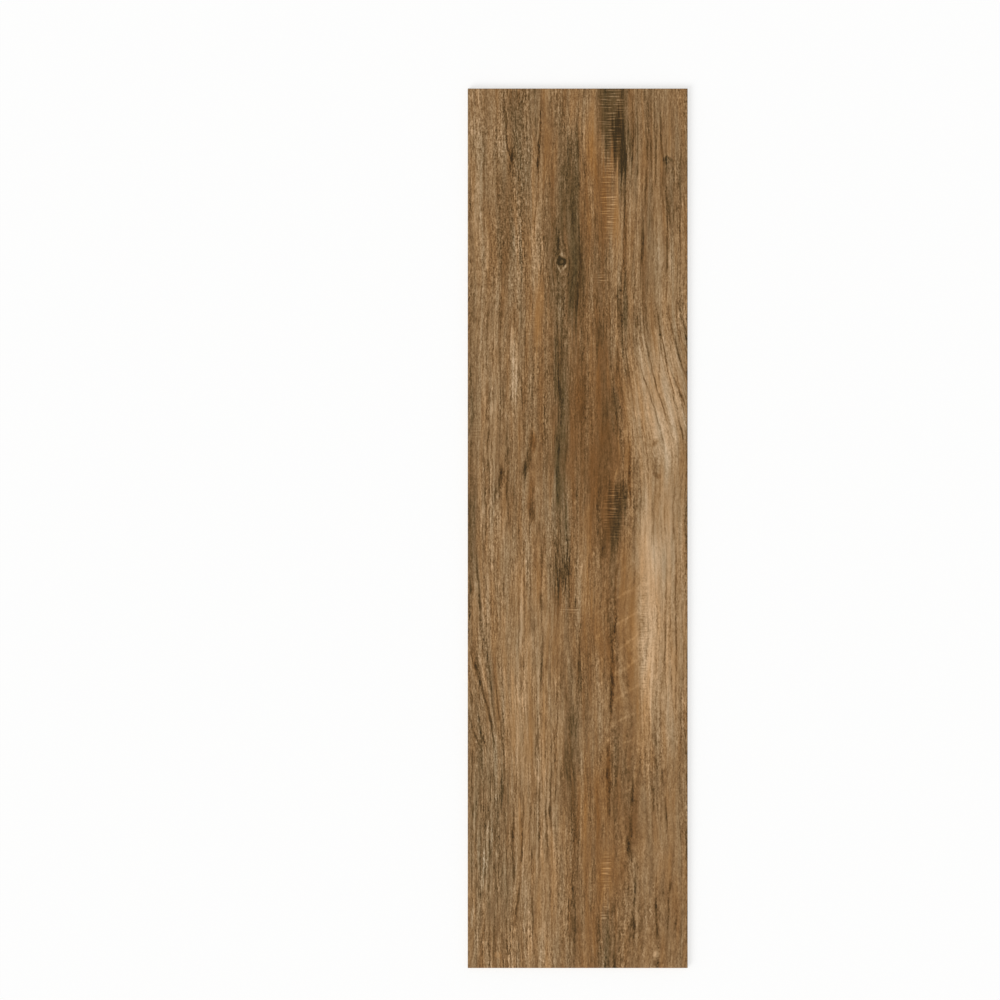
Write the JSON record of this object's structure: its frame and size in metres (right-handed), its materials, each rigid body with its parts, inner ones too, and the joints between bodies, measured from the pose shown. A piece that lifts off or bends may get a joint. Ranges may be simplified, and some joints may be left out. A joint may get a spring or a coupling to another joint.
{
  "type": "porcelain tile",
  "caption": "Long rectangular wood-look porcelain floor and wall tile with ground square edges, a small bevel round the face and a ribbed pressed back for adhesive.",
  "frame": {"origin": "middle of the back, on the plane of the rib tops that the tile rests on", "axes": "+Z out of the printed face, +Y along the tile, +X across it"},
  "size_m": [0.3, 1.2, 0.009],
  "materials": {
    "wood_print_glaze": "matte"
  },
  "bodies": {
    "root": {"plank_tile": "wood_print_glaze"}
  },
  "joints": []
}
